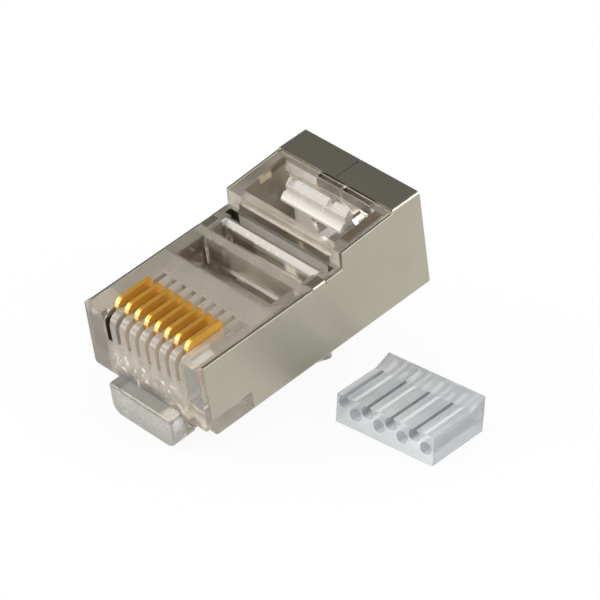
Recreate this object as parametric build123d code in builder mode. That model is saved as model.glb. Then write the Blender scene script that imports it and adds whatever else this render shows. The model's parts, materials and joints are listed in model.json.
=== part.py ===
from build123d import *
import math
import os

os.makedirs("parts", exist_ok=True)

# A shielded 8-way modular plug with its wire guide beside it. Millimetres.
# Every piece of the plug is drawn level: X across, Y from the nose face back, Z up from the lower
# edge of the nose. Then the plug is laid nose down on its latch, as it comes to rest.

# Overall sizes of the plug
plug_width = 11.68
plug_length = 21.46
nose_height = 6.0
underside = -0.4
step_y = 13.67
step_height = 7.36
rear_height = 7.9

# Clearances between the pieces
shield_clear = 0.02
contact_clear = 0.03
bar_clear = 0.15
hinge_clear = 0.05

# Contact blades and the wires that they pierce
contact_count = 8
contact_pitch = 1.016
contact_thickness = 0.35
blade_front_y = 1.0
blade_length = 3.3
blade_proud = 0.65
blade_front_radius = 0.7
blade_rear_radius = 0.2
blade_shoulder = 1.9
prong_gap = 0.06
prong_count = 3
prong_length = 0.9
prong_margin = 0.45
prong_tip_round = 0.05
wire_bore = 0.98
wire_row_z = 1.95
wire_stagger = 0.65

# Folded shield
sheet = 0.22
bend_radius = 0.32
sheared_round = 0.06
panel_front_y = 0.5
rail_length = 4.27
rail_height = 1.3
step_lean = 0.1
band_length = 2.58
band_seam = 0.07
tab_y = 10.9
tab_length = 1.15
tab_reach = 0.85
tab_proud = 0.08
tab_bend = 0.26
tab_relief = 0.06
tab_relief_depth = 0.22

# Moulded housing
nose_lip_z = 0.5
lip_length = 0.3
lip_corner = 0.26
lead_in_length = 0.84
edge_round = 0.12
comb_round = 0.9
comb_margin = 0.28
slot_end_y = 5.6
slot_front_floor = 3.7
slot_rear_floor = 4.9
front_wall = 0.6
channel_end_y = 6.3
pocket_half = 4.6
wedge_y = 7.56
wedge_length = 2.54
wedge_floor = 3.5
gap_y = 10.85
gap_length = 1.25
gap_floor = 2.3
bar_rib = 0.55
rib_chamfer = 0.36
recess_setback = 0.22
recess_floor = 4.9
side_hole_width = 0.7
side_hole_length = 0.6
side_hole_depth = 0.75

# Jacket chamber, window and cable seat at the rear
jacket_floor = 0.9
jacket_roof = 6.55
window_lip = 0.63
window_rear_rim = 0.26
cable_bore = 5.8
cable_z = 3.55
cable_seat_length = 2.9
vent_width = 0.38
vent_depth = 0.9
vent_setback = 0.08
vent_lengths = ((-1.4, 0.9), (1.15, 3.9))

# Jacket clamp that hangs in the rear window
clamp_width = 6.0
clamp_setback = 2.1
clamp_foot = 6.05
clamp_shelf = 6.65
clamp_top = 7.45
clamp_length = 1.25
clamp_chamfer = 0.38
clamp_web = 0.3
notch_width = 0.55
notch_depth = 0.4
notch_places = (-2.6, 1.3)

# Latch: a chin under the nose, and a lever on its living hinge
chin_width = 6.5
chin_top = 0.74
chin_front_y = -1.11
chin_round = 0.2
chin_corner = 0.95
chin_bottom = -1.95
chin_wall = 1.5
chin_edge = 0.15
hinge_y = 1.35
hinge_z = -1.42
hinge_round = 0.45
hinge_width = 5.2
neck_y = 2.2
neck_taper = 0.8
lever_width = 6.0
catch_y = 8.36
catch_z = -2.45
catch_round = 0.42
tail_width = 3.25
tail_y = 15.15
tail_z = -4.9
tail_round = 0.56
tail_corner = 1.1
latch_travel = 12.0

# Wire guide (load bar), and where it lies beside the plug
bar_width = 8.4
bar_depth = 5.9
bar_front_height = 2.33
bar_rear_height = 2.9
bar_ramp = 1.55
bar_row_z = 1.21
bar_x = 11.4
bar_y = 13.9
bar_turn = 8.0

# Worked out from the sizes above
core_half = plug_width / 2 - sheet - shield_clear
core_floor = underside + sheet + shield_clear
core_roof = rear_height - sheet - shield_clear
core_corner = bend_radius - sheet - shield_clear
panel_top = nose_height - shield_clear
band_y = plug_length - band_length
bore_y = plug_length - cable_seat_length
contact_xs = [(i - (contact_count - 1) / 2) * contact_pitch for i in range(contact_count)]
row_zs = [wire_row_z + (wire_stagger if i % 2 == 0 else 0) for i in range(contact_count)]
slot_width = contact_thickness + 2 * contact_clear
blade_top = nose_height + blade_proud
blade_end_y = blade_front_y + blade_length
comb_half = contact_xs[-1] + slot_width / 2 + comb_margin
guide_half = bar_width / 2 + bar_clear
guide_floor = wire_row_z - bar_row_z
guide_roof = guide_floor + bar_rear_height + bar_clear
guide_end_y = step_y - bar_clear
rib_y = gap_y + gap_length
recess_end_y = step_y - recess_setback
window_y = step_y + window_lip
window_end_y = bore_y - window_rear_rim
clamp_y = window_end_y - clamp_setback
clamp_end_y = clamp_y + clamp_length
tab_z = nose_height + tab_proud - sheet
lever_slope = math.degrees(math.atan2(hinge_z - catch_z, catch_y - hinge_y))


def profile(points, radii=0):
    """A closed face from its corners, with one radius for all or a radius for each."""
    with BuildLine() as outline:
        FilletPolyline(*points, radius=radii, close=True)
    make_face(outline.edges())


def box_profile(start, low, end, high):
    """A rectangle from its two opposite corners."""
    profile([(start, low), (end, low), (end, high), (start, high)])


# Housing: clear moulding with the chin of the latch, the contact comb, the wire channels, the
# guide chamber, both strain reliefs and the cable seat
with BuildPart() as housing:
    with BuildSketch(Plane.YZ):
        profile(
            [
                (lead_in_length, chin_top),
                (chin_front_y, chin_top),
                (chin_front_y, chin_bottom),
                (hinge_y, hinge_z - hinge_round),
                (hinge_y, hinge_z + hinge_round),
                (chin_front_y + chin_wall, hinge_z + hinge_round),
                (chin_front_y + chin_wall, nose_lip_z / 2),
            ],
            [0, chin_edge, 0, 0, 0, chin_edge, 0],
        )
    extrude(amount=chin_width / 2, both=True)
    with BuildSketch(Plane.XZ.offset(-hinge_y)):
        with Locations((0, chin_bottom)):
            Rectangle(chin_width, nose_height, align=(Align.CENTER, Align.MIN))
        fillet(vertices().group_by(Axis.Y)[0], chin_corner)
    extrude(amount=2 * (hinge_y - chin_front_y), mode=Mode.INTERSECT)
    chin_face = housing.faces().sort_by(Axis.Y)[0]
    fillet(chin_face.edges().filter_by(lambda e: e.center().Z < chin_top - chin_edge - 0.01), chin_round)
    # The socket of the living hinge, cut back so that the lever can rise
    with BuildSketch(Plane.YZ):
        with Locations((hinge_y, hinge_z)):
            Circle(hinge_round + hinge_clear)
            Rectangle(
                3 * hinge_round, 3 * hinge_round, rotation=latch_travel - lever_slope,
                align=(Align.MIN, Align.CENTER),
            )
    extrude(amount=chin_width, both=True, mode=Mode.SUBTRACT)

    # Body inside the shield
    with BuildSketch(Plane.YZ):
        profile(
            [
                (0, nose_lip_z),
                (0, nose_height),
                (step_y, nose_height),
                (step_y, step_height),
                (band_y, core_roof),
                (plug_length, core_roof),
                (plug_length, core_floor),
                (lead_in_length, core_floor),
                (lip_length, nose_lip_z),
            ]
        )
    extrude(amount=core_half, both=True)
    # Its long corners follow the inside of the shield's bends
    rear_edges = housing.edges().filter_by(Axis.Y).filter_by(lambda e: e.center().Y > rail_length)
    rear_edges = rear_edges.filter_by(lambda e: abs(e.center().X) > core_half - 0.01)
    fillet(rear_edges.group_by(Axis.Z)[0] + rear_edges.group_by(Axis.Z)[-1], core_corner)
    # Nose flange and side rails, flush with the outside of the shield
    with BuildPart(mode=Mode.PRIVATE) as flange:
        with BuildSketch(Plane.YZ):
            profile(
                [
                    (0, nose_lip_z),
                    (0, nose_height),
                    (panel_front_y - shield_clear, nose_height),
                    (panel_front_y - shield_clear, rail_height - shield_clear),
                    (rail_length - shield_clear, rail_height - shield_clear),
                    (rail_length - shield_clear, underside),
                    (lead_in_length, underside),
                    (lip_length, nose_lip_z),
                ],
                [0, 0, 0, 0, 0, 0, edge_round, 0],
            )
        extrude(amount=plug_width / 2, both=True)
        for level, radius in ((underside, bend_radius), (nose_lip_z, lip_corner)):
            long_edges = flange.edges().filter_by(Axis.Y)
            fillet(long_edges.filter_by_position(Axis.Z, level - 0.01, level + 0.01), radius)
    add(flange.part)

    # Rounded front of the contact comb
    with BuildSketch(Plane.YZ):
        box_profile(0, nose_height - comb_round, comb_round, nose_height)
        with Locations((comb_round, nose_height - comb_round)):
            Circle(comb_round, mode=Mode.SUBTRACT)
    extrude(amount=comb_half, both=True, mode=Mode.SUBTRACT)

    # Contact slots: open at the front and above, and down to the wire under each blade
    for x, row_z in zip(contact_xs, row_zs):
        with BuildSketch(Plane.YZ.offset(x)):
            profile(
                [
                    (-1, rear_height),
                    (-1, slot_front_floor),
                    (blade_front_y - contact_clear, slot_front_floor),
                    (blade_front_y - contact_clear, row_z),
                    (blade_end_y + contact_clear, row_z),
                    (blade_end_y + contact_clear, slot_rear_floor),
                    (slot_end_y, slot_rear_floor),
                    (slot_end_y, rear_height),
                ]
            )
        extrude(amount=slot_width / 2, both=True, mode=Mode.SUBTRACT)
        with BuildSketch(Plane.XZ.offset(-front_wall)):
            with Locations((x, row_z)):
                Circle(wire_bore / 2)
        extrude(amount=front_wall - channel_end_y - wire_bore / 4, mode=Mode.SUBTRACT)

    # Chamber of the wire guide
    with BuildSketch(Plane.YZ):
        box_profile(channel_end_y, guide_floor, guide_end_y, guide_roof)
    extrude(amount=guide_half, both=True, mode=Mode.SUBTRACT)

    # Conductor clamp: a wedge pocket, a gap and a shallow recess with a chamfered bar between them
    with BuildSketch(Plane.YZ):
        wedge_end_y = wedge_y + wedge_length
        profile([(wedge_y, nose_height), (wedge_end_y, wedge_floor), (wedge_end_y, nose_height)])
        box_profile(gap_y, gap_floor, rib_y, nose_height)
        box_profile(rib_y + bar_rib, recess_floor, recess_end_y, nose_height)
        rib_top = (rib_y, nose_height)
        profile([rib_top, (rib_y, nose_height - rib_chamfer), (rib_y + rib_chamfer, nose_height)])
    extrude(amount=pocket_half, both=True, mode=Mode.SUBTRACT)
    # Side holes at the foot of the step, and the seats of the shield tabs
    for side in (-1, 1):
        with BuildSketch(Plane.XY.offset(nose_height)):
            with Locations((side * pocket_half, recess_end_y)):
                Rectangle(
                    side_hole_width, side_hole_length,
                    align=(Align.MIN if side > 0 else Align.MAX, Align.MAX),
                )
        extrude(amount=-side_hole_depth, mode=Mode.SUBTRACT)
        with BuildSketch(Plane.XY.offset(tab_z - shield_clear)):
            with Locations((side * plug_width / 2, tab_y + tab_length / 2)):
                Rectangle(2 * (tab_reach + shield_clear), tab_length + 2 * shield_clear)
        extrude(amount=sheet, mode=Mode.SUBTRACT)

    # Jacket chamber, its window, and the round cable seat
    with BuildSketch(Plane.YZ):
        box_profile(guide_end_y, jacket_floor, bore_y, jacket_roof)
    extrude(amount=pocket_half, both=True, mode=Mode.SUBTRACT)
    with BuildSketch(Plane.YZ):
        box_profile(window_y, jacket_roof, window_end_y, rear_height)
    extrude(amount=pocket_half, both=True, mode=Mode.SUBTRACT)
    with BuildSketch(Plane.XZ.offset(-plug_length)):
        with Locations((0, cable_z)):
            Circle(cable_bore / 2)
    extrude(amount=cable_seat_length, mode=Mode.SUBTRACT)
    with BuildSketch(Plane.XY.offset(core_roof)):
        for start, end in vent_lengths:
            with Locations((start, bore_y - vent_setback)):
                Rectangle(end - start, vent_width, align=Align.MIN)
    extrude(amount=-vent_depth, both=True, mode=Mode.SUBTRACT)

    # Jacket clamp: two chamfered tiers on a thin web from the rear frame
    with BuildSketch(Plane.YZ):
        profile(
            [
                (clamp_y, clamp_foot),
                (clamp_y, clamp_shelf - clamp_chamfer),
                (clamp_y + clamp_chamfer, clamp_shelf),
                (clamp_y + clamp_length / 2, clamp_shelf),
                (clamp_y + clamp_length / 2, clamp_top - clamp_chamfer),
                (clamp_y + clamp_length / 2 + clamp_chamfer, clamp_top),
                (clamp_end_y, clamp_top),
                (clamp_end_y, jacket_roof + clamp_web),
                (bore_y, jacket_roof + clamp_web),
                (bore_y, jacket_roof),
                (clamp_end_y, jacket_roof),
                (clamp_end_y, clamp_foot),
            ]
        )
    extrude(amount=clamp_width / 2, both=True)
    with BuildSketch(Plane.XY.offset(clamp_top)):
        for x in notch_places:
            with Locations((x, clamp_end_y)):
                Rectangle(notch_width, clamp_length / 2, align=(Align.CENTER, Align.MAX))
    extrude(amount=-notch_depth, mode=Mode.SUBTRACT)
housing.part.label = "housing"

# Shield: one folded sheet, with side panels, a floor, a closed band at the rear and two tabs
inner_half = plug_width / 2 - sheet
inner_height = rear_height - underside - 2 * sheet
with BuildPart() as shield:
    # Side panels and floor, open above and cut to their outline
    with BuildSketch(Plane.XZ.offset(-panel_front_y)):
        with Locations((0, underside)):
            Rectangle(plug_width, 2 * rear_height, align=(Align.CENTER, Align.MIN))
        fillet(vertices().group_by(Axis.Y)[0], bend_radius)
        with Locations((0, underside + sheet)):
            Rectangle(
                2 * inner_half, 2 * rear_height, align=(Align.CENTER, Align.MIN), mode=Mode.SUBTRACT,
            )
        fillet(vertices(Select.LAST).group_by(Axis.Y)[0], bend_radius - sheet)
    extrude(amount=panel_front_y - band_y)
    with BuildSketch(Plane.YZ):
        profile(
            [
                (panel_front_y, rail_height),
                (panel_front_y, panel_top),
                (step_y, panel_top),
                (step_y + step_lean, step_height),
                (band_y, core_roof),
                (band_y, underside),
                (rail_length, underside),
                (rail_length, rail_height),
            ]
        )
    extrude(amount=plug_width, both=True, mode=Mode.INTERSECT)
    # The sheared top edges of the side panels are slightly rounded
    fillet(
        shield.edges()
        .filter_by(lambda e: e.center().Z > panel_top - 0.01 and abs(e.tangent_at(0.5).Y) > 0.5),
        sheared_round,
    )
    # The closed band, and its seam
    with BuildSketch(Plane.XZ.offset(-plug_length)):
        with Locations((0, underside)):
            Rectangle(plug_width, rear_height - underside, align=(Align.CENTER, Align.MIN))
        fillet(vertices(), bend_radius)
        with Locations((0, underside + sheet)):
            Rectangle(
                2 * inner_half, inner_height, align=(Align.CENTER, Align.MIN), mode=Mode.SUBTRACT,
            )
        fillet(vertices(Select.LAST), bend_radius - sheet)
    extrude(amount=band_length)
    with BuildSketch(Plane.XY.offset(rear_height)):
        with Locations((0, band_y)):
            Rectangle(band_seam, plug_length, align=(Align.CENTER, Align.MIN))
    extrude(amount=-2 * sheet, mode=Mode.SUBTRACT)
    # Tabs bent in over the housing, between relief cuts
    with BuildSketch(Plane.YZ):
        with Locations((tab_y + tab_length / 2, panel_top)):
            Rectangle(tab_length + 2 * tab_relief, 2 * tab_relief_depth)
    extrude(amount=plug_width, both=True, mode=Mode.SUBTRACT)
    with BuildSketch(Plane.XZ.offset(-tab_y)):
        for side in (-1, 1):
            profile(
                [
                    (side * plug_width / 2, panel_top - tab_relief_depth),
                    (side * plug_width / 2, tab_z + sheet),
                    (side * (plug_width / 2 - tab_reach), tab_z + sheet),
                    (side * (plug_width / 2 - tab_reach), tab_z),
                    (side * inner_half, tab_z),
                    (side * inner_half, panel_top - tab_relief_depth),
                ],
                [0, tab_bend, 0, 0, tab_bend - sheet, 0],
            )
    extrude(amount=-tab_length)
shield.part.label = "shield"

# Contacts: flat blades with prongs over the wire, long and short in turn
contacts = []
tooth = (blade_length - 2 * prong_margin) / prong_count
for number, (x, row_z) in enumerate(zip(contact_xs, row_zs), 1):
    tip_z = row_z + wire_bore / 2 + prong_gap
    root_z = min(blade_top - blade_shoulder, tip_z + prong_length)
    outline = [
        (blade_front_y, root_z),
        (blade_front_y, blade_top),
        (blade_end_y, blade_top),
        (blade_end_y, root_z),
    ]
    radii = [0, blade_front_radius, blade_rear_radius, 0]
    for k in reversed(range(prong_count)):
        left = blade_front_y + prong_margin + k * tooth
        outline += [(left + tooth * 0.9, root_z), (left + tooth / 2, tip_z), (left + tooth * 0.1, root_z)]
        radii += [0, prong_tip_round, 0]
    with BuildPart() as contact:
        with BuildSketch(Plane.YZ.offset(x)):
            profile(outline, radii)
        extrude(amount=contact_thickness / 2, both=True)
    contact.part.label = f"contact_{number}"
    contacts.append(contact)

# Latch lever: a neck at the hinge, wide to the catch shoulders, then a narrow tail that dips to the floor
with BuildPart() as latch_lever:
    hinge = (hinge_y, hinge_z, hinge_round)
    catch = (catch_y, catch_z, catch_round)
    tail = (tail_y, tail_z, tail_round)
    for front, rear in ((hinge, catch), (catch, tail)):
        with BuildSketch(Plane.YZ):
            with BuildLine():
                CenterArc(front[:2], front[2], 0, 360)
                CenterArc(rear[:2], rear[2], 0, 360)
            make_hull()
        extrude(amount=lever_width / 2, both=True)
    with BuildSketch(Plane.XY):
        half_plan = [
            (hinge_width / 2, 0),
            (hinge_width / 2, neck_y),
            (lever_width / 2, neck_y + neck_taper),
            (lever_width / 2, catch_y),
            (tail_width / 2, catch_y),
            (tail_width / 2, tail_y + tail_round),
        ]
        corners = half_plan + [(-x, y) for x, y in reversed(half_plan)]
        profile(corners, [tail_corner if y > tail_y else 0 for x, y in corners])
    extrude(amount=plug_length, both=True, mode=Mode.INTERSECT)
latch_lever.part.label = "latch_lever"

# Wire guide: eight staggered bores, the upper ones open along the top, and a ramp at the rear
with BuildPart() as load_bar:
    with BuildSketch(Plane.YZ):
        profile(
            [
                (-bar_depth / 2, 0),
                (-bar_depth / 2, bar_front_height),
                (bar_depth / 2 - bar_ramp, bar_front_height),
                (bar_depth / 2, bar_rear_height),
                (bar_depth / 2, 0),
            ]
        )
    extrude(amount=bar_width / 2, both=True)
    for x, row_z in zip(contact_xs, row_zs):
        with BuildSketch(Plane.XZ.offset(-bar_depth)):
            with Locations((x, row_z - guide_floor)):
                Circle(wire_bore / 2)
        extrude(amount=2 * bar_depth, mode=Mode.SUBTRACT)
load_bar.part.label = "load_bar"

# Rest: the chin and the tail of the latch touch the floor
reach_y = tail_y - (chin_front_y + chin_round)
reach_z = (chin_bottom + chin_round) - tail_z
reach = math.hypot(reach_y, reach_z)
rest_tilt = math.atan2(reach_z, reach_y) - math.asin((chin_round - tail_round) / reach)
chin_low_y = (chin_front_y + chin_round) * math.sin(rest_tilt)
chin_low = chin_low_y + (chin_bottom + chin_round) * math.cos(rest_tilt)
at_rest = Location((0, 0, chin_round - chin_low), (math.degrees(rest_tilt), 0, 0))
for piece in [housing, shield, latch_lever] + contacts:
    piece.part.move(at_rest)
load_bar.part.move(Location((bar_x, bar_y, 0), (0, 0, bar_turn)))

# The origin is on the floor, in the middle of the whole footprint
pieces = [housing, shield, latch_lever, load_bar] + contacts
boxes = [piece.part.bounding_box() for piece in pieces]
middle_x = (min(b.min.X for b in boxes) + max(b.max.X for b in boxes)) / 2
middle_y = (min(b.min.Y for b in boxes) + max(b.max.Y for b in boxes)) / 2
for piece in pieces:
    piece.part.move(Location((-middle_x, -middle_y, 0)))

export_step(housing.part, "parts/housing.step")
export_step(shield.part, "parts/shield.step")
export_step(latch_lever.part, "parts/latch_lever.step")
export_step(load_bar.part, "parts/load_bar.step")
for contact in contacts:
    export_step(contact.part, f"parts/{contact.part.label}.step")
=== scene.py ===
import json
import math

import bpy
from mathutils import Matrix, Vector

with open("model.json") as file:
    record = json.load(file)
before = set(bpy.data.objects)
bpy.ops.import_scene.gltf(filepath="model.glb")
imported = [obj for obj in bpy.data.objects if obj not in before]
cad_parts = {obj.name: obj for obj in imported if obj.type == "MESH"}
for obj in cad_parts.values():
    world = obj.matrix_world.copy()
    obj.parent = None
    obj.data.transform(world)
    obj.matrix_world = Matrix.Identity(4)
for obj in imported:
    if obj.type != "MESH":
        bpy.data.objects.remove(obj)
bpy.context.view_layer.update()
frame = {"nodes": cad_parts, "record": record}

MM = 0.001
WHITE = (1, 1, 1, 1)
nodes = frame["nodes"]
mounts = {m["name"]: m for m in frame["record"]["mounts"]}

# The plug's own level frame, in millimetres: X across, Y from the nose back, Z up.
# It is tilted against the world, because the plug lies nose down on its latch.
NOSE = Vector(mounts["jack_interface"]["pos_m"])
NOSE_MIDDLE_Z = 3.0
BACK_AXIS = Vector(mounts["cable_entry"]["axis"])
TILT = math.atan2(BACK_AXIS.z, BACK_AXIS.y)
LEVEL_TO_WORLD = Matrix.Rotation(TILT, 3, "X")
WORLD_TO_LEVEL = Matrix.Rotation(-TILT, 3, "X")

# The photographer's camera, about the middle of the nose face, in that level frame
CAMERA_FROM_NOSE = Vector((155.64, -109.22, 163.76)) * MM
CAMERA_AZIMUTH = 51.586
CAMERA_ELEVATION = 40.061
CAMERA_ROLL = 8.442
FIELD_OF_VIEW = 9.381
CAMERA_CLIP = (0.01, 10)

# Light: an even level on the object, with a dark ceiling behind it for the metal to mirror
LEVEL_LIGHT = 0.85
THROUGH_LIGHT = 0.8
MIRRORED_LOW = 0.8
MIRRORED_DARK = 0.17
DARK_SIDE = (-0.55, 0.5, 0.67)
DARK_SIDE_START = 0.1
DARK_SIDE_END = 0.85
LAMP_DISTANCE = 0.32
LAMP_SIZE = 0.12
LAMP_WATTS = 0.2
LAMPS = {
    "left_low": (-0.6, -0.72, 0.3),
    "left_high": (-0.6, -0.3, 0.74),
    "right_back": (0.645, 0.476, 0.6),
}

# The white floor: its matt share, and its level in a mirror
FLOOR_SIZE = 3
FLOOR_COLOUR = (0.9, 0.9, 0.9, 1)
FLOOR_KEEPS = 0.08
FLOOR_MIRRORED = 0.78

# Fine detail: noise scales in cells to a metre, and relief in metres
METAL_PATCHES = 160
METAL_GRAIN = 5200
PLASTIC_DRIFT = 320
PLASTIC_HAZE = 1700
HAZE_STRETCH = (1, 0.4, 1)
HAZE_RELIEF = 1.5e-6
MILKY_DRIFT = 0.06
SKIN_COAT = 0.6
SKIN_ROUGHNESS = 0.04

# Places on the housing that look different from the rest. Each has a fade in millimetres, a tone, a
# milky share and boxes, given by their lower and upper corners in the level frame. Some are rougher too.
# Many tones are painted light or painted shade, and some places get a faint painted glow, an emission
# that stands in for light the clear plastic gathers.
PLACES = {
    # Painted light: the deck, the wedge's rear and the step face made lighter and milkier
    "top": {
        "fade": 0.05, "tone": (0.86, 0.79, 0.67), "milky": 0.3,
        "boxes": {
            "deck": ((-5.9, -0.1, 5.93), (5.9, 7.4, 6.1)),
            "wedge_rear": ((-5.9, 10.2, 5.93), (5.9, 10.8, 6.1)),
            "step_face": ((-5.9, 13.6, 6.1), (5.9, 13.75, 7.4)),
        },
    },
    # Painted light behind the bar: a lighter tone and a faint painted glow
    "recess": {
        "fade": 0.1, "tone": (0.86, 0.83, 0.77), "milky": 0.4, "glow": 0.05,
        "boxes": {"behind_bar": ((-4.6, 12.5, 4.7), (4.6, 13.7, 5.9))},
    },
    "frosted": {
        "fade": 0.15, "tone": (0.83, 0.8, 0.74), "milky": 0.75, "rougher": 0.15,
        "boxes": {
            "jacket_clamp": ((-3.1, 16.2, 6.0), (3.1, 17.5, 7.6)),
            "conductor_bar": ((-4.7, 12.05, 5.6), (4.7, 12.42, 6.1)),
        },
    },
    # Painted highlights: lighter, milkier and glowing at the chin corner, the gap wall, the window lip
    # and the clamp ledge
    "painted_highlight": {
        "fade": 0.4, "tone": (0.98, 0.93, 0.85), "milky": 0.8, "glow": 0.22,
        "boxes": {
            "chin_corner": ((3.1, -0.7, -0.1), (3.3, -0.4, 0.45)),
            "gap_wall": ((1.7, 12.05, 4.8), (2.5, 12.15, 5.2)),
            "window_lip": ((3.7, 14.2, 7.4), (3.8, 14.2, 7.4)),
            "clamp_ledge": ((-2.9, 15.9, 6.3), (2.9, 16.3, 6.75)),
        },
    },
    # Painted warm light on the window's left inner wall
    "warm_light": {
        "fade": 0.2, "tone": (0.78, 0.66, 0.46), "milky": 0.75,
        "boxes": {"window_side": ((-4.7, 15.9, 7.0), (-4.5, 16.9, 7.4))},
    },
    # The rib fronts and slot rears: a tan tone of their own, rougher, with a faint painted glow
    "ribs": {
        "fade": 0.3, "tone": (0.76, 0.69, 0.58), "milky": 0.3, "rougher": 0.25, "glow": 0.08,
        "boxes": {
            "rib_fronts": ((-3.3, -0.05, 1.6), (3.9, 0.9, 6.05)),
            "slot_rears": ((-3.9, 4.3, 4.8), (3.9, 5.7, 6.05)),
        },
    },
    "chin": {
        "fade": 0.3, "tone": (0.66, 0.65, 0.61), "milky": 0.45, "rougher": 0.2,
        "boxes": {"front": ((-3.3, -1.2, -2.0), (3.3, -0.1, 0.4))},
    },
    # Painted shade on the chin's top, under the nose
    "chin_top_shade": {
        "fade": 0.4, "tone": (0.24, 0.24, 0.21), "milky": 0.5,
        "boxes": {"top": ((-3.3, -0.9, 0.74), (1.9, 0.1, 0.8))},
    },
    # Painted shade on the step's top behind the bar
    "step_shade": {
        "fade": 0.15, "tone": (0.3, 0.29, 0.25), "milky": 0.5,
        "boxes": {"step_top": ((-4.6, 12.6, 5.85), (4.6, 13.6, 6.1))},
    },
    # Painted shade down the nose's left side
    "nose_side_shade": {
        "fade": 0.3, "tone": (0.4, 0.34, 0.25), "milky": 0.38,
        "boxes": {"nose_left": ((-5.9, -0.1, 0.3), (-4.2, 0.25, 5.2))},
    },
    # Painted shade on the walls of the gap and the wedge pocket
    "painted_shade": {
        "fade": 0.35, "tone": (0.31, 0.26, 0.19), "milky": 0.42,
        "boxes": {
            "gap_wall": ((-4.7, 12.0, 3.9), (-1.7, 12.2, 5.4)),
            "wedge_wall": ((-4.7, 10.0, 3.4), (-2.2, 10.2, 5.1)),
            "wedge_side": ((-4.7, 8.0, 5.0), (-4.5, 9.8, 5.7)),
        },
    },
    # Deeper painted shade along the window's rims
    "deep_shade": {
        "fade": 0.2, "tone": (0.2, 0.15, 0.1), "milky": 0.55,
        "boxes": {
            "window_right": ((4.65, 14.9, 7.2), (5.3, 18.2, 7.9)),
            "window_left": ((-4.8, 17.1, 7.3), (-4.5, 18.4, 7.8)),
        },
    },
    # Near-black painted shade in the vents, the side holes and the first slot
    "dark": {
        "fade": 0.05, "tone": (0.06, 0.05, 0.035), "milky": 1.0,
        "boxes": {
            "vent_left": ((-1.45, 18.4, 6.9), (0.95, 18.85, 7.58)),
            "vent_right": ((1.1, 18.4, 6.9), (3.95, 18.85, 7.58)),
            "side_hole_left": ((-5.4, 12.8, 4.5), (-4.55, 13.5, 5.9)),
            "side_hole_right": ((4.55, 12.8, 4.5), (5.4, 13.5, 5.9)),
            "first_slot": ((-3.78, -0.05, 3.7), (-3.34, 1.0, 5.5)),
        },
    },
}

# Painted glints low on the nose, where the ends of the wire channels catch the light: small bright spots
# with a faint glow
GLINT_BOXES = {"under_slots": ((-3.4, -0.05, 1.5), (4.0, 0.3, 2.9))}
GLINT_FADE = 0.2
GLINT_SCALE = 2600
GLINT_START = 0.58
GLINT_END = 0.64
GLINT_TONE = (0.98, 0.96, 0.92)
GLINT_MILKY = 0.75
GLINT_GLOW = 0.15

# Painted highlights on the front tips of the blades: a lighter tone and a faint glow
TIP_HIGHLIGHT_BOXES = {
    "tips_low": ((-4.0, 0.95, 6.12), (4.0, 1.02, 6.2)),
    "tips_high": ((-4.0, 1.14, 6.42), (4.0, 1.2, 6.5)),
}
TIP_HIGHLIGHT_FADE = 0.13
TIP_HIGHLIGHT_TONE = (1.0, 0.8, 0.34)
TIP_HIGHLIGHT_GLOW = 0.2

# The wire guide's sides that face away from the light are darker
GUIDE_AWAY = (0.6, 0.8, 0)
GUIDE_AWAY_FULL = 0.35
GUIDE_AWAY_TONE = (0.55, 0.575, 0.61)


def tree_of(owner):
    """The emptied node tree of a material or a world."""
    owner.use_nodes = True
    owner.node_tree.nodes.clear()
    return owner.node_tree


def node(tree, kind, **sockets):
    """A new node with some of its inputs set by name."""
    made = tree.nodes.new(kind)
    for name, value in sockets.items():
        made.inputs[name.replace("_", " ")].default_value = value
    return made


def feed(tree, value, socket):
    """Sets a socket to a number, or links it to another socket."""
    if isinstance(value, (int, float)):
        socket.default_value = value
    else:
        tree.links.new(value, socket)


def maths(tree, operation, first, second):
    """A value worked out from two others, each a socket or a number."""
    made = tree.nodes.new("ShaderNodeMath")
    made.operation = operation
    feed(tree, first, made.inputs[0])
    feed(tree, second, made.inputs[1])
    return made.outputs["Value"]


def vector_maths(tree, operation, source, fixed=(0, 0, 0)):
    """The node that works on a vector and a fixed one."""
    made = tree.nodes.new("ShaderNodeVectorMath")
    made.operation = operation
    tree.links.new(source, made.inputs[0])
    made.inputs[1].default_value = fixed
    return made


def noise(tree, scale, stretch=(1, 1, 1), detail=3.0, roughness=0.55):
    """Noise in the object's own coordinates, drawn out along an axis if asked."""
    place = tree.nodes.new("ShaderNodeTexCoord")
    turn = node(tree, "ShaderNodeMapping", Scale=stretch)
    made = node(tree, "ShaderNodeTexNoise", Scale=scale, Detail=detail, Roughness=roughness)
    tree.links.new(place.outputs["Object"], turn.inputs["Vector"])
    tree.links.new(turn.outputs["Vector"], made.inputs["Vector"])
    return made.outputs["Fac"]


def ramp(tree, source, low, high, start=0.3, end=0.7):
    """Maps a value between start and end onto low to high."""
    made = tree.nodes.new("ShaderNodeMapRange")
    made.inputs["From Min"].default_value = start
    made.inputs["From Max"].default_value = end
    made.inputs["To Min"].default_value = low
    made.inputs["To Max"].default_value = high
    tree.links.new(source, made.inputs["Value"])
    return made.outputs["Result"]


def blend(tree, share, first, second):
    """A colour between two, each a socket or a tone."""
    made = tree.nodes.new("ShaderNodeMix")
    made.data_type = "RGBA"
    tree.links.new(share, made.inputs["Factor"])
    colour_inputs = [socket for socket in made.inputs if socket.type == "RGBA"]
    for socket, value in zip(colour_inputs, (first, second)):
        if isinstance(value, tuple):
            socket.default_value = (*value, 1)
        else:
            tree.links.new(value, socket)
    return [socket for socket in made.outputs if socket.type == "RGBA"][0]


def bumps(tree, source, height, shader):
    """Fine relief from a value, height in metres."""
    made = node(tree, "ShaderNodeBump", Strength=1.0, Distance=height)
    tree.links.new(source, made.inputs["Height"])
    tree.links.new(made.outputs["Normal"], shader.inputs["Normal"])


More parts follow.
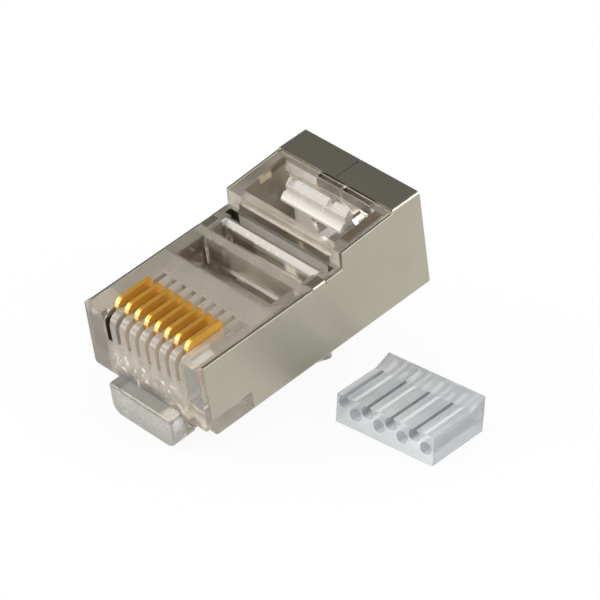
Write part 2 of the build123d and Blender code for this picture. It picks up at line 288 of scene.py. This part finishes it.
def level_place(tree):
    """The surface point in the plug's level frame, in millimetres."""
    place = tree.nodes.new("ShaderNodeTexCoord")
    turn = node(tree, "ShaderNodeMapping", Scale=(1 / MM, 1 / MM, 1 / MM), Rotation=(-TILT, 0, 0))
    turn.inputs["Location"].default_value = Vector((0, 0, NOSE_MIDDLE_Z)) - WORLD_TO_LEVEL @ NOSE / MM
    tree.links.new(place.outputs["Object"], turn.inputs["Vector"])
    return turn.outputs["Vector"]


def inside(tree, place, boxes, fade):
    """1 inside any of the boxes, fading to 0 outside them."""
    total = None
    for low, high in boxes.values():
        low, high = Vector(low), Vector(high)
        from_middle = vector_maths(tree, "SUBTRACT", place, (low + high) / 2).outputs["Vector"]
        apart = vector_maths(tree, "ABSOLUTE", from_middle).outputs["Vector"]
        beyond = vector_maths(tree, "SUBTRACT", apart, (high - low) / 2).outputs["Vector"]
        outside = vector_maths(tree, "MAXIMUM", beyond).outputs["Vector"]
        distance = vector_maths(tree, "LENGTH", outside).outputs["Value"]
        here = ramp(tree, distance, 1, 0, 0, fade)
        total = here if total is None else maths(tree, "MAXIMUM", total, here)
    return total


def glowing(tree, shader, level, tone):
    """Paints a faint glow of the shader's own tone: emission standing in for light the plastic gathers.
    """
    tree.links.new(level, shader.inputs["Emission Strength"])
    tree.links.new(tone, shader.inputs["Emission Color"])


def metal(name, dark, light, metallic, smooth, rough, grain_height, stretch, tips=None):
    """Plated metal: a tone that drifts, streaked roughness, a faint grain and any painted highlights on
    its tips.
    """
    made = bpy.data.materials.new(name)
    tree = tree_of(made)
    out = tree.nodes.new("ShaderNodeOutputMaterial")
    shader = node(tree, "ShaderNodeBsdfPrincipled", Metallic=metallic)
    patches = noise(tree, METAL_PATCHES)
    grain = noise(tree, METAL_GRAIN, stretch, detail=4.0)
    tone = blend(tree, ramp(tree, patches, 0, 1), dark, light)
    # Painted highlight on the tips: a lighter tone and a faint glow
    if tips:
        share = inside(tree, level_place(tree), tips, TIP_HIGHLIGHT_FADE)
        tone = blend(tree, share, tone, TIP_HIGHLIGHT_TONE)
        glowing(tree, shader, maths(tree, "MULTIPLY", share, TIP_HIGHLIGHT_GLOW), tone)
    tree.links.new(tone, shader.inputs["Base Color"])
    tree.links.new(ramp(tree, grain, smooth, rough), shader.inputs["Roughness"])
    bumps(tree, grain, grain_height, shader)
    tree.links.new(shader.outputs["BSDF"], out.inputs["Surface"])
    return made


def clear_plastic(name, dark, light, milkiness, smooth, rough, ior):
    """Clear moulded plastic with a milky share that drifts, flow marks and a glossy skin."""
    made = bpy.data.materials.new(name)
    tree = tree_of(made)
    out = tree.nodes.new("ShaderNodeOutputMaterial")
    shader = node(
        tree, "ShaderNodeBsdfPrincipled", IOR=ior, Coat_Weight=SKIN_COAT, Coat_Roughness=SKIN_ROUGHNESS)
    drift = noise(tree, PLASTIC_DRIFT)
    haze = noise(tree, PLASTIC_HAZE, HAZE_STRETCH, detail=4.0)
    milky = ramp(tree, drift, milkiness - MILKY_DRIFT, milkiness + MILKY_DRIFT)
    tone = blend(tree, ramp(tree, drift, 0, 1), dark, light)
    roughness = ramp(tree, haze, smooth, rough)
    bumps(tree, haze, HAZE_RELIEF, shader)
    tree.links.new(shader.outputs["BSDF"], out.inputs["Surface"])
    return made, tree, shader, tone, milky, roughness


def finish_clear(tree, shader, tone, milky, roughness):
    """Joins the tone, the milky share and the roughness to the shader."""
    tree.links.new(tone, shader.inputs["Base Color"])
    tree.links.new(maths(tree, "SUBTRACT", 1.0, milky), shader.inputs["Transmission Weight"])
    tree.links.new(roughness, shader.inputs["Roughness"])


def housing_plastic():
    """The housing's plastic, with its frosted clamps, painted shade in its hollows, painted glints,
    painted highlights and a painted glow.
    """
    made, tree, shader, tone, milky, roughness = clear_plastic(
        "clear_polycarbonate", dark=(0.76, 0.69, 0.585), light=(0.86, 0.79, 0.68),
        milkiness=0.22, smooth=0.06, rough=0.14, ior=1.5)
    place = level_place(tree)
    glow = None
    for look in PLACES.values():
        share = inside(tree, place, look["boxes"], look["fade"])
        tone = blend(tree, share, tone, look["tone"])
        milky = maths(tree, "MAXIMUM", milky, maths(tree, "MULTIPLY", share, look["milky"]))
        if "rougher" in look:
            roughness = maths(tree, "ADD", roughness, maths(tree, "MULTIPLY", share, look["rougher"]))
        if "glow" in look:
            here = maths(tree, "MULTIPLY", share, look["glow"])
            glow = here if glow is None else maths(tree, "MAXIMUM", glow, here)
    # Painted glints: noise spots, lighter, milkier and faintly glowing
    painted_glints = ramp(tree, noise(tree, GLINT_SCALE, detail=2.0), 0, 1, GLINT_START, GLINT_END)
    painted_glints = maths(tree, "MULTIPLY", painted_glints, inside(tree, place, GLINT_BOXES, GLINT_FADE))
    tone = blend(tree, painted_glints, tone, GLINT_TONE)
    milky = maths(tree, "MAXIMUM", milky, maths(tree, "MULTIPLY", painted_glints, GLINT_MILKY))
    glow = maths(tree, "MAXIMUM", glow, maths(tree, "MULTIPLY", painted_glints, GLINT_GLOW))
    glowing(tree, shader, glow, tone)
    finish_clear(tree, shader, tone, milky, roughness)
    return made


def guide_plastic():
    """The wire guide's plastic: cooler and hazier, and darker on the sides that face away."""
    made, tree, shader, tone, milky, roughness = clear_plastic(
        "guide_plastic", dark=(0.86, 0.89, 0.91), light=(0.93, 0.95, 0.965),
        milkiness=0.45, smooth=0.12, rough=0.22, ior=1.45)
    side = tree.nodes.new("ShaderNodeNewGeometry").outputs["Normal"]
    away = vector_maths(tree, "DOT_PRODUCT", side, GUIDE_AWAY).outputs["Value"]
    tone = blend(tree, ramp(tree, away, 0, 1, 0.0, GUIDE_AWAY_FULL), tone, GUIDE_AWAY_TONE)
    finish_clear(tree, shader, tone, milky, roughness)
    return made


def dress(name, material):
    """A CAD node takes a material over its whole surface."""
    mesh = nodes[name].data
    mesh.materials.clear()
    mesh.materials.append(material)


def make_materials():
    """The four materials, and the CAD nodes that they dress."""
    housing = housing_plastic()
    nickel = metal(
        "nickel_plate", dark=(0.53, 0.5, 0.4), light=(0.575, 0.54, 0.435), metallic=1.0,
        smooth=0.29, rough=0.35, grain_height=2e-7, stretch=(1, 0.12, 1))
    gold = metal(
        "gold_plate", dark=(0.9, 0.46, 0.06), light=(1.0, 0.56, 0.1), metallic=0.75,
        smooth=0.32, rough=0.44, grain_height=6e-7, stretch=(1, 1, 0.2), tips=TIP_HIGHLIGHT_BOXES)
    dress("housing", housing)
    dress("latch_lever", housing)
    dress("load_bar", guide_plastic())
    dress("shield", nickel)
    for name in nodes:
        if name.startswith("contact_"):
            dress(name, gold)


def make_floor():
    """A wide white floor: plain for the camera and through the plastic, duller in a mirror."""
    bpy.ops.mesh.primitive_plane_add(size=FLOOR_SIZE)
    floor = bpy.context.object
    floor.name = "floor"
    made = bpy.data.materials.new("white_floor")
    tree = tree_of(made)
    out = tree.nodes.new("ShaderNodeOutputMaterial")
    ray = tree.nodes.new("ShaderNodeLightPath").outputs
    matt = node(tree, "ShaderNodeBsdfDiffuse", Color=FLOOR_COLOUR)
    plain = node(tree, "ShaderNodeEmission", Color=WHITE)
    mirrored = maths(tree, "SUBTRACT", ray["Is Glossy Ray"], ray["Is Transmission Ray"])
    tree.links.new(ramp(tree, mirrored, 1.0, FLOOR_MIRRORED, 0, 1), plain.inputs["Strength"])
    straight = maths(tree, "MAXIMUM", ray["Is Camera Ray"], ray["Is Transmission Ray"])
    seen = maths(tree, "MAXIMUM", straight, ray["Is Glossy Ray"])
    mixed = tree.nodes.new("ShaderNodeMixShader")
    tree.links.new(maths(tree, "MULTIPLY", seen, 1 - FLOOR_KEEPS), mixed.inputs["Fac"])
    tree.links.new(matt.outputs["BSDF"], mixed.inputs[1])
    tree.links.new(plain.outputs["Emission"], mixed.inputs[2])
    tree.links.new(mixed.outputs["Shader"], out.inputs["Surface"])
    floor.data.materials.append(made)


def make_world():
    """White for the camera, even for the light, and dark in a mirror towards one side."""
    world = bpy.data.worlds.new("studio")
    bpy.context.scene.world = world
    tree = tree_of(world)
    out = tree.nodes.new("ShaderNodeOutputWorld")
    place = tree.nodes.new("ShaderNodeTexCoord")
    path = tree.nodes.new("ShaderNodeLightPath")
    dark_side = LEVEL_TO_WORLD @ Vector(DARK_SIDE).normalized()
    towards = vector_maths(tree, "DOT_PRODUCT", place.outputs["Generated"], dark_side).outputs["Value"]
    levels = {
        "Is Glossy Ray": ramp(
            tree, towards, MIRRORED_LOW, MIRRORED_DARK, DARK_SIDE_START, DARK_SIDE_END),
        "Is Transmission Ray": THROUGH_LIGHT,
        "Is Camera Ray": 1.0,
    }
    strength = LEVEL_LIGHT
    for ray, level in levels.items():
        chosen = tree.nodes.new("ShaderNodeMix")
        chosen.data_type = "FLOAT"
        tree.links.new(path.outputs[ray], chosen.inputs["Factor"])
        feed(tree, strength, chosen.inputs["A"])
        feed(tree, level, chosen.inputs["B"])
        strength = chosen.outputs["Result"]
    light = node(tree, "ShaderNodeBackground", Color=WHITE)
    tree.links.new(strength, light.inputs["Strength"])
    tree.links.new(light.outputs["Background"], out.inputs["Surface"])


def make_lamp(name, direction):
    """A soft square lamp that faces the object from a direction in the level frame."""
    data = bpy.data.lights.new(name, "AREA")
    data.size = LAMP_SIZE
    data.energy = LAMP_WATTS
    lamp = bpy.data.objects.new(name, data)
    away = LEVEL_TO_WORLD @ Vector(direction).normalized()
    lamp.location = away * LAMP_DISTANCE
    lamp.rotation_mode = "QUATERNION"
    lamp.rotation_quaternion = away.to_track_quat("Z", "Y")
    bpy.context.scene.collection.objects.link(lamp)


def make_camera():
    """The camera keeps its place in the plug's level frame, and tips with the plug onto the floor."""
    azimuth, elevation = math.radians(CAMERA_AZIMUTH), math.radians(CAMERA_ELEVATION)
    flat = Vector((math.sin(azimuth), -math.cos(azimuth), 0))
    back = flat * math.cos(elevation) + Vector((0, 0, math.sin(elevation)))
    level = Vector((0, 0, 1)).cross(back).normalized()
    upright = back.cross(level)
    roll = math.radians(CAMERA_ROLL)
    right = level * math.cos(roll) - upright * math.sin(roll)
    up = upright * math.cos(roll) + level * math.sin(roll)
    turn = LEVEL_TO_WORLD @ Matrix((right, up, back)).transposed()
    data = bpy.data.cameras.new("camera")
    data.angle = math.radians(FIELD_OF_VIEW)
    data.clip_start, data.clip_end = CAMERA_CLIP
    camera = bpy.data.objects.new("camera", data)
    camera.matrix_world = Matrix.Translation(NOSE + LEVEL_TO_WORLD @ CAMERA_FROM_NOSE) @ turn.to_4x4()
    bpy.context.scene.collection.objects.link(camera)
    bpy.context.scene.camera = camera


make_materials()
make_floor()
make_world()
for lamp_name, lamp_direction in LAMPS.items():
    make_lamp(lamp_name, lamp_direction)
make_camera()
bpy.context.scene.view_settings.view_transform = "Standard"
